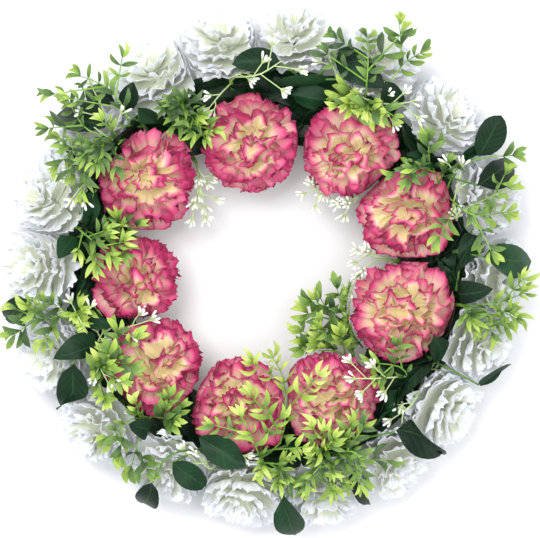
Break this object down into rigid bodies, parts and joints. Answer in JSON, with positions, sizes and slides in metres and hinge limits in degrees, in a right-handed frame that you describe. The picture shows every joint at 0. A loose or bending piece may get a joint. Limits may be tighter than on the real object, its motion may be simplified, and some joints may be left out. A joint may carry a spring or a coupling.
{
  "type": "carnation wreath",
  "caption": "Ring of artificial carnations, pink and cream round the hole and white on the rim, set among dark leaves, bright leafy sprigs and small white filler florets on a hidden foam base.",
  "frame": {"origin": "centre of the bounding box's bottom face, on the surface that the wreath lies on", "axes": "+Z points out of the wreath's front, away from its flat back; +Y is the top of the wreath as pictured; +X is the picture's right"},
  "size_m": [0.4638, 0.4612, 0.1036],
  "materials": {
    "green_foam": "matt dry floral foam, dark green",
    "pink_and_cream_petals": "matt heat-formed polyester cloth, cream with magenta edges",
    "white_petals": "matt heat-formed polyester cloth, cool white",
    "dark_green_leaves": "satin to glossy coated leaf, dark green",
    "bright_green_leaves": "soft moulded plastic, yellow-green at the tips",
    "white_green_florets": "soft moulded plastic, greenish white"
  },
  "bodies": {
    "root": {"base_ring": "green_foam", "dark_leaf_spray_01": "dark_green_leaves", "dark_leaf_spray_02": "dark_green_leaves", "dark_leaf_spray_03": "dark_green_leaves", "dark_leaf_spray_04": "dark_green_leaves", "dark_leaf_spray_05": "dark_green_leaves", "dark_leaf_spray_06": "dark_green_leaves", "dark_leaf_spray_07": "dark_green_leaves", "dark_leaf_spray_08": "dark_green_leaves", "dark_leaf_spray_09": "dark_green_leaves", "filler_spray_01": "white_green_florets", "filler_spray_02": "white_green_florets", "filler_spray_03": "white_green_florets", "filler_spray_04": "white_green_florets", "filler_spray_05": "white_green_florets", "filler_spray_06": "white_green_florets", "filler_spray_07": "white_green_florets", "filler_spray_08": "white_green_florets", "filler_spray_09": "white_green_florets", "filler_spray_10": "white_green_florets", "leafy_sprig_01": "bright_green_leaves", "leafy_sprig_02": "bright_green_leaves", "leafy_sprig_03": "bright_green_leaves", "leafy_sprig_04": "bright_green_leaves", "leafy_sprig_05": "bright_green_leaves", "leafy_sprig_06": "bright_green_leaves", "leafy_sprig_07": "bright_green_leaves", "leafy_sprig_08": "bright_green_leaves", "leafy_sprig_09": "bright_green_leaves", "leafy_sprig_10": "bright_green_leaves", "leafy_sprig_11": "bright_green_leaves", "leafy_sprig_12": "bright_green_leaves", "leafy_sprig_13": "bright_green_leaves", "pink_carnation_01": "pink_and_cream_petals", "pink_carnation_02": "pink_and_cream_petals", "pink_carnation_03": "pink_and_cream_petals", "pink_carnation_04": "pink_and_cream_petals", "pink_carnation_05": "pink_and_cream_petals", "pink_carnation_06": "pink_and_cream_petals", "pink_carnation_07": "pink_and_cream_petals", "pink_carnation_08": "pink_and_cream_petals", "pink_carnation_09": "pink_and_cream_petals", "white_carnation_01": "white_petals", "white_carnation_02": "white_petals", "white_carnation_03": "white_petals", "white_carnation_04": "white_petals", "white_carnation_05": "white_petals", "white_carnation_06": "white_petals", "white_carnation_07": "white_petals", "white_carnation_08": "white_petals", "white_carnation_09": "white_petals", "white_carnation_10": "white_petals", "white_carnation_11": "white_petals", "white_carnation_12": "white_petals", "white_carnation_13": "white_petals", "white_carnation_14": "white_petals", "white_carnation_15": "white_petals", "white_carnation_16": "white_petals", "white_carnation_17": "white_petals", "white_carnation_18": "white_petals"}
  },
  "joints": []
}
